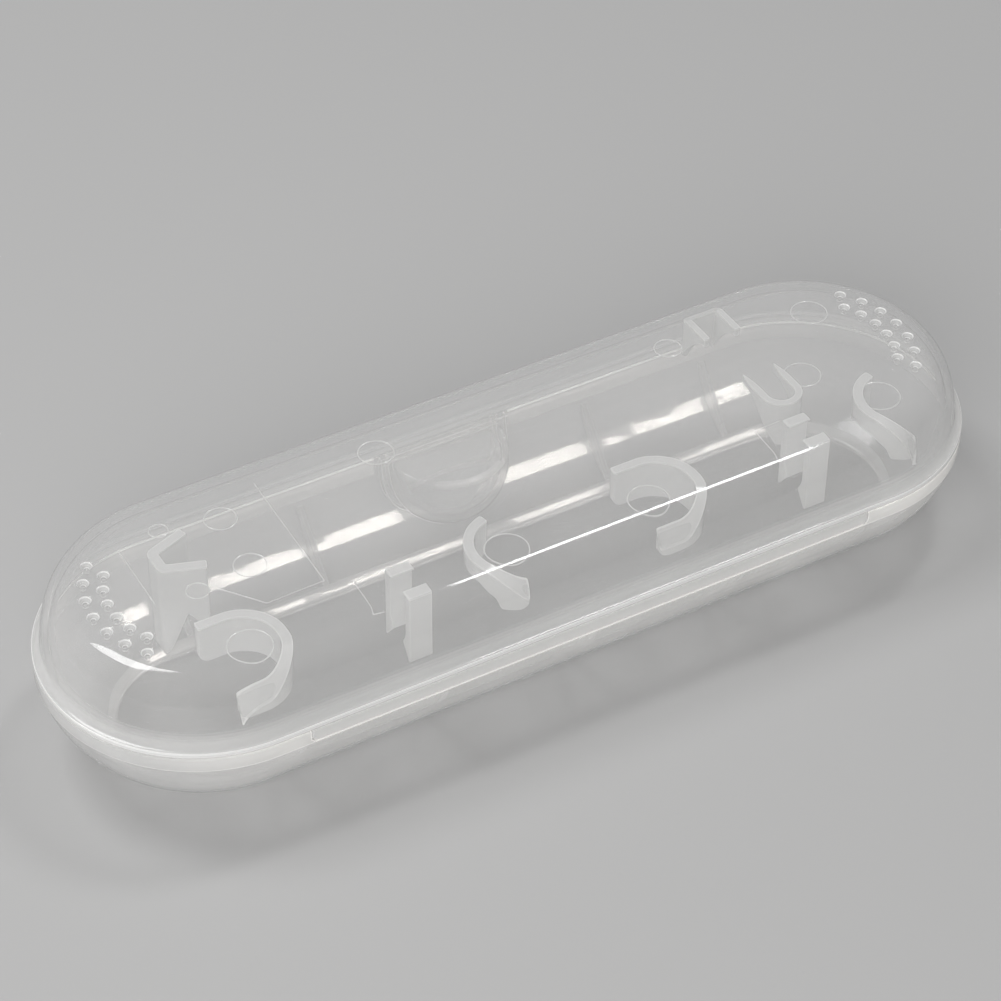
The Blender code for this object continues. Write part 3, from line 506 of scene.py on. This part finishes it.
def shoulder_cradles():
    """Two U shaped walls whose lower edges follow a circle round the handle's axis; the far one is scalloped
    across its back by a half wave."""
    left, right = SPINE - 15.4, SPINE - 7.5
    radius, centre = (right - left) / 2, (left + right) / 2
    axis_y, axis_z, handle_r = 8.0, 20.3, 18.3
    near_low, scallop, high = 26.5, 3.4, HEIGHT - 2 * WALL

    def over_handle(y):
        """Height of the handle's round back over a line along the case."""
        return axis_z + np.sqrt(np.maximum(handle_r ** 2 - (y - axis_y) ** 2, 0.0))

    def near_edge(s, length, x, y):
        return np.clip(over_handle(y), near_low, high)

    def far_edge(s, length, x, y):
        wave = np.sin(np.pi * np.clip((x - left) / (right - left), 0, 1))
        return np.minimum(over_handle(y) + scallop * wave, high)

    near = np.concatenate([[(left, 2.4)], arc((centre, radius - 10.1), radius, 180, 360, 30), [(right, 2.4)]])
    far = eased([(left, 16.5), (left, 25.2), (right, 25.2), (right, 16.5)], (0.7, 0.7), 5)
    near_wall = hanging("clear_shoulder_cradle_near", near, near_edge, 1.6, 1.4, tip=4.5, blunt=1.3)
    far_wall = hanging("clear_shoulder_cradle_far", far, far_edge, 1.5, 1.4)
    return [(near_wall, "lid", "holder_plastic", ("shoulder_cradle_near",)),
            (far_wall, "lid", "holder_plastic", ("shoulder_cradle_far",))]


def hinge_strip():
    """The strip between the two folds, with its lower corners cut off."""
    low, high, side, ramp, half = 19.95, 22.85, 66.0, 0.9, 0.4
    outline = [(-side, high), (-side, low + ramp), (-side + ramp, low), (side - ramp, low),
               (side, low + ramp), (side, high)]
    strip = solid("clear_hinge_strip", *slab(outline, half, -END_R + half, "y"))
    return [(round_edges(strip, 0.18), "strip", "strip_plastic", ("hinge_strip",))]


def latch_tab():
    """The tab: outer and inner faces on the base's curve. Its half width closes in along a quarter circle
    at the lower corners, and the outer face is sunk between borders and two upright ribs by smooth steps.
    The bead inside is the top of a circle. What stands up takes more milk, as thicker plastic, and the border
    and ribs also carry painted highlight."""
    low, high, half, corner, thick = 12.0, PARTING - GAP / 2, 13.3, 4.0, 1.2
    edge_wide, foot, rib_x, rib_half, scallop, side_r = 1.5, 2.4, 9, 0.8, 0.9, 0.25
    sink, bead_r, bead_half = 0.4, 0.7, 8
    climb = np.concatenate([corner * (1 - np.cos(np.linspace(0, np.pi / 2, 17))),
                            np.linspace(corner, high - low, 40)[1:]])
    span = half - corner + np.sqrt(np.maximum(corner ** 2 - np.maximum(corner - climb, 0) ** 2, 0))
    s = np.linspace(-1, 1, 121)
    x = span[:, None] * s
    fade = 1 - climb / (high - low)
    sag = np.cos(np.pi / 2 * np.clip(x / (half - corner), -1, 1))
    z = low + climb[:, None] + scallop * sag * fade[:, None] ** 2

    def step(v, edge):
        """A smooth cubic step from 0 to 1 about an edge, 0.28 wide."""
        t = np.clip((v - edge) / 0.28 + 0.5, 0, 1)
        return t * t * (3 - 2 * t)

    inside = step(half - edge_wide - np.abs(x), 0) * step(z, low + foot) * (1 - step(z, high - edge_wide))
    ribs = step(np.abs(x), rib_x - rib_half) * (1 - step(np.abs(x), rib_x + rib_half))
    sunk = sink * inside * (1 - ribs)
    side_round = 1 - np.sqrt(np.clip(1 - ((np.abs(s) - 0.97) / 0.03).clip(0) ** 2, 0, 1))
    outer = side_half(0.0, z) - sunk - side_r * side_round
    bead_z = PARTING - 3.0 - bead_r - 0.3
    bead = np.sqrt(np.clip(bead_r ** 2 - (z - bead_z) ** 2, 0, 1)) - bead_r / 2
    inner = side_half(thick, z) - np.where(np.abs(x) < bead_half, np.clip(bead, 0, 1), 0)
    points = np.concatenate([np.stack([x, outer, z], -1), np.stack([x, inner, z], -1)[:, ::-1]], 1)
    border = 1 - step(span[:, None] - 0.8 - np.abs(x), 0) * step(climb[:, None], 1.0)
    # raised: more milk on standing, thicker plastic, plus painted highlight along the border and ribs
    raised = np.concatenate([1.2 - sunk / sink, 1.4 * border[:, ::-1]], 1)
    rows, columns = points.shape[:2]
    faces = quads(rows, columns, wrap_columns=True).tolist()
    n = np.arange(columns // 2 - 1)
    for first in (0, (rows - 1) * columns):
        last = first + columns - 1
        faces += np.stack([first + n, first + n + 1, last - 1 - n, last - n], -1).tolist()
    return [(solid("clear_latch_tab", points, faces, 40.0, raised), "tab", "tab_plastic", ("latch_tab",))]


def ridge(path, wide, tall, closed):
    """A raised line on the lid's inner face: a full round section carried along a path in plan, at the
    height of the face over each point. An open line's section shrinks to nothing at either end, as a
    quarter circle."""
    path = np.asarray(path, float)
    if closed:
        ahead = np.roll(path, -1, 0) - np.roll(path, 1, 0)
        fill = np.ones(len(path))
    else:
        runs = distances(path)
        s = np.linspace(0, runs[-1], 160)
        path = np.stack([np.interp(s, runs, path[:, 0]), np.interp(s, runs, path[:, 1])], -1)
        ahead = np.gradient(path, axis=0)
        left = np.clip(1 - np.minimum(s, runs[-1] - s) / 0.4, 0, 1)
        fill = np.sqrt(1 - left ** 2)
    across = np.stack([-ahead[:, 1], ahead[:, 0]], -1) / np.hypot(*ahead.T)[:, None]
    turn = np.linspace(0, 2 * np.pi, 8, endpoint=False)
    flat = path[:, None] + across[:, None] * (np.cos(turn)[:, None] * wide) * fill[:, None, None]
    z = lid_underside(flat[..., 0], flat[..., 1]) + np.sin(turn) * tall * fill[:, None]
    return np.concatenate([flat, z[..., None]], -1).reshape(-1, 3), quads(len(path), 8, closed, True)


def mould_marks():
    """What the mould leaves on the lid's inner face: rings round its pins, and the outlines of the inserts
    that form the handle's stop and the prongs."""
    pins = ((-14.5, -20.9, 4.6), (-72.2, -20.8, 4.6), (18.5, -22.0, 4.4), (79.2, -17.5, 4.6),
            (-61.7, 0.2, 3.4), (69.0, -3.5, 4.0), (82.6, 14.0, 4.0), (-60.7, 15.7, 3.4),
            (-73.3, 18.5, 2.0), (-23.2, 18.6, 3.8), (48.7, 18.5, 3.0), (-74.2, -1.5, 2.3))
    stop_insert = ((-49.8, 22.4), (-50.9, -11.2), (-63.8, -11.5), (-70.2, -3.2), (-72.0, -2.8))
    end_line = ((-82.9, 17.0), (-83.2, -1.0))
    prong_insert = np.array([(-39.6, -14.1), (-46.0, -14.3), (-46.4, -22.4), (-47.0, -24.6), (-44.6, -24.9)])
    around = np.linspace(0, 2 * np.pi, 64, endpoint=False)
    circle = np.stack([np.cos(around), np.sin(around)], -1)
    lines = [ridge(circle * radius + (x, y), 0.14, 0.11, True) for x, y, radius in pins]
    lines += [ridge(path, 0.09, 0.08, False)
              for path in (stop_insert, end_line, prong_insert, prong_insert + (HOLDER_PITCH, 0))]
    return [(solid("lid_mould_marks", *joined(lines)), "lid", "lid_plastic", ())]


# Finishes
def milky_clear(name, colour, milk, clear, rough):
    """Milky clear polypropylene. Light passes through by the clear tint, except for a share of milk that is
    lit as a dull white body from both sides. The share grows where the wall is seen edge on, and clouds a
    little along the melt's flow; it also grows in sharp corners and where the attribute thick is set, partly
    for thicker plastic and partly as painted highlight along edges and rims. A gloss lies over it all, five
    parts in a hundred face on and rising with the fifth power of one minus the cosine of the viewing angle."""
    mat = bpy.data.materials.new(name)
    mat.use_nodes = True
    tree = mat.node_tree
    tree.nodes.clear()

    def node(kind, values):
        """A shader node with each named or numbered input set to a value or linked to an output."""
        made = tree.nodes.new("ShaderNode" + kind)
        for socket, value in values.items():
            if isinstance(value, bpy.types.NodeSocket):
                tree.links.new(value, made.inputs[socket])
            else:
                made.inputs[socket].default_value = value
        return made

    def math_node(operation, a, b):
        made = node("Math", {0: a, 1: b})
        made.operation = operation
        made.use_clamp = operation == "ADD"
        return made.outputs[0]

    place = node("TexCoord", {}).outputs["Object"]
    flow = node("Mapping", {"Vector": place, "Scale": (18.0, 60.0, 60.0)}).outputs["Vector"]
    cloud = node("TexNoise", {"Vector": flow, "Scale": 1.0, "Detail": 4.0, "Roughness": 0.55}).outputs["Fac"]
    grain = node("TexNoise", {"Vector": place, "Scale": 900.0, "Detail": 3.0}).outputs["Fac"]

    edge_gain, cloud_gain, corner_milk_and_highlight_gain, thick_and_highlight_gain = 0.55, 0.25, 2.4, 0.4
    facing = node("LayerWeight", {"Blend": 0.5}).outputs["Facing"]
    edge_on = math_node("MULTIPLY", math_node("POWER", facing, 2.5), edge_gain)
    drift = math_node("MULTIPLY", math_node("SUBTRACT", cloud, 0.5), cloud_gain)
    # Corner and thick terms: extra milk, partly for thicker plastic, partly painted highlight along edges and
    # rims
    rounded = node("Bevel", {"Radius": 0.0005})
    rounded.samples = 4
    surface = node("NewGeometry", {})
    fold = node("VectorMath", {0: rounded.outputs["Normal"], 1: surface.outputs["Normal"]})
    fold.operation = "DOT_PRODUCT"
    corner = math_node("SUBTRACT", 1.0, math_node("ABSOLUTE", fold.outputs["Value"], 0.0))
    marked = node("Attribute", {})
    marked.attribute_name = "thick"
    thick = math_node("ADD", math_node("MULTIPLY", corner, corner_milk_and_highlight_gain),
                      math_node("MULTIPLY", marked.outputs["Fac"], thick_and_highlight_gain))
    share = math_node("ADD", math_node("ADD", edge_on, milk), math_node("ADD", drift, thick))

    relief = math_node("ADD", math_node("MULTIPLY", cloud, 0.6), math_node("MULTIPLY", grain, 0.06))
    bumped = node("Bump", {"Strength": 0.02, "Distance": 0.0002, "Height": relief}).outputs["Normal"]
    varied = node("MapRange", {"Value": cloud, "To Min": rough, "To Max": rough + 0.12}).outputs["Result"]
    body = node("BsdfPrincipled", {"Base Color": (*colour, 1.0), "Specular IOR Level": 0.5, "IOR": 1.49,
                                   "Roughness": varied, "Normal": bumped})
    glow = node("BsdfTranslucent", {"Color": (*colour, 1.0)})
    lit = node("MixShader", {0: 0.35, 1: body.outputs["BSDF"], 2: glow.outputs["BSDF"]})
    window = node("BsdfTransparent", {"Color": (*clear, 1.0)})
    mix = node("MixShader", {0: share, 1: window.outputs["BSDF"], 2: lit.outputs["Shader"]})

    shine = node("BsdfGlossy", {"Roughness": rough * 0.6, "Normal": bumped})
    glance = math_node("MULTIPLY", math_node("POWER", facing, 5.0), 0.9)
    coat = node("MixShader", {0: math_node("ADD", glance, 0.05), 1: mix.outputs["Shader"],
                              2: shine.outputs["BSDF"]})
    node("OutputMaterial", {"Surface": coat.outputs["Shader"]})
    return mat


# each finish: the material's name, colour, share of milk, clear tint and roughness
FINISHES = {
    "base_plastic": milky_clear("base_polypropylene", (0.96, 0.96, 0.955), 0.15, (0.985, 0.985, 0.985), 0.1),
    "lid_plastic": milky_clear("lid_polypropylene", (0.97, 0.97, 0.965), 0.14, (0.985, 0.985, 0.985), 0.07),
    "strip_plastic": milky_clear("strip_polypropylene", (0.97, 0.97, 0.965), 0.4, (0.98, 0.98, 0.98), 0.16),
    "tab_plastic": milky_clear("tab_polypropylene", (0.98, 0.98, 0.975), 0.35, (0.98, 0.98, 0.98), 0.12),
    "rib_plastic": milky_clear("rib_polypropylene", (0.97, 0.97, 0.965), 0.26, (0.98, 0.98, 0.98), 0.16),
    # The holders' high share of milk is partly painted light: it makes them read lighter than the shell, as
    # though lit from all sides.
    "holder_plastic": milky_clear("holder_polypropylene", (0.98, 0.98, 0.975), 0.62, (0.98, 0.98, 0.98),
                                  0.18),
}

pieces = [(lid_shell(), "lid", "lid_plastic", ("lid_shell",)),
          (base_shell(), "base", "base_plastic", ("base_shell",))]
pieces += cradle_ribs() + head_hooks() + neck_prongs() + handle_stop() + shoulder_cradles()
pieces += hinge_strip() + latch_tab() + mould_marks()
for piece, body, slot, nodes in pieces:
    piece.data.materials.clear()
    piece.data.materials.append(FINISHES[slot])
    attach(piece, body)
    if nodes:
        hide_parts(*nodes)


# Floor, light and camera
def pale_floor():
    """A wide plain sheet on the ground, pale and dull."""
    reach = np.linspace(-4000, 4000, 9)
    x, y = np.meshgrid(reach, reach, indexing="ij")
    points = np.stack([x, y, 0 * x], -1).reshape(-1, 3) * 0.001
    mesh = bpy.data.meshes.new("pale_floor")
    mesh.from_pydata(points.tolist(), [], quads(9, 9).tolist())
    item = bpy.data.objects.new("pale_floor", mesh)
    bpy.context.scene.collection.objects.link(item)
    mat = bpy.data.materials.new("pale_paper")
    mat.use_nodes = True
    shader = mat.node_tree.nodes["Principled BSDF"]
    shader.inputs["Base Color"].default_value = (0.48, 0.48, 0.48, 1.0)
    shader.inputs["Roughness"].default_value = 0.85
    shader.inputs["Specular IOR Level"].default_value = 0.05
    mesh.materials.append(mat)


def softbox(name, place, aim, size, power, tint=(1.0, 1.0, 1.0)):
    """A rectangular lamp at place that faces aim; its long side lies along the case."""
    lamp = bpy.data.lights.new(name, "AREA")
    lamp.shape, lamp.size, lamp.size_y = "RECTANGLE", size[0], size[1]
    lamp.energy, lamp.color = power, tint
    item = bpy.data.objects.new(name, lamp)
    bpy.context.scene.collection.objects.link(item)
    back = np.array(place, float) - aim
    back /= np.linalg.norm(back)
    long_side = np.array([1.0, 0.0, 0.0]) - back[0] * back
    long_side /= np.linalg.norm(long_side)
    up = np.cross(back, long_side)
    turn = np.eye(4)
    turn[:3, 0], turn[:3, 1], turn[:3, 2], turn[:3, 3] = long_side, up, back, place
    item.matrix_world = Matrix(turn.tolist())
    return item


def studio():
    """Pale surroundings, a small softbox overhead, one to its left, a wide one from the front left that draws
    no reflection, and a strip on the right that lights the base's shell alone and draws the streak in its far
    side."""
    world = bpy.data.worlds.new("pale_room")
    bpy.context.scene.world = world
    world.use_nodes = True
    sky = world.node_tree.nodes["Background"]
    sky.inputs["Color"].default_value = (1.0, 1.0, 1.0, 1.0)
    sky.inputs["Strength"].default_value = 0.32
    middle = (0, 0, 0.02)
    softbox("overhead_softbox", (0.466, 0.2, 1.0), middle, size=(0.21, 0.18), power=1.7)
    softbox("left_softbox", (-0.32, 0.38, 0.95), middle, size=(0.42, 0.42), power=3.4)
    fill = softbox("front_softbox", (-0.9, -0.9, 0.7), middle, size=(1.2, 0.8), power=14.5,
                   tint=(1.0, 0.99, 0.98))
    fill.visible_glossy = False
    strip = softbox("base_strip_light", (0.45, -0.8, 0.66), middle, size=(0.36, 0.28), power=7.5,
                    tint=(1.0, 0.95, 0.88))
    lit_base = bpy.data.collections.new("lit_base")
    lit_base.objects.link(bpy.data.objects["base_clear_shell"])
    strip.light_linking.receiver_collection = lit_base


def camera():
    """The photograph's viewpoint: right, up and backward directions beside the place."""
    data = bpy.data.cameras.new("camera")
    data.sensor_width, data.lens = 36.0, 113.6
    data.clip_start, data.clip_end = 0.01, 50.0
    item = bpy.data.objects.new("camera", data)
    bpy.context.scene.collection.objects.link(item)
    right, up = np.array([0.8664, -0.4994, 0.0086]), np.array([0.3219, 0.5715, 0.7548])
    right /= np.linalg.norm(right)
    up -= right * (right @ up)
    up /= np.linalg.norm(up)
    turn = np.eye(4)
    turn[:3, 0], turn[:3, 1], turn[:3, 2] = right, up, np.cross(right, up)
    turn[:3, 3] = (-0.25557, -0.42923, 0.46231)
    item.matrix_world = Matrix(turn.tolist())
    bpy.context.scene.camera = item


pale_floor()
studio()
camera()
bpy.context.scene.view_settings.view_transform = "Standard"
bpy.context.scene.cycles.transparent_max_bounces = 24
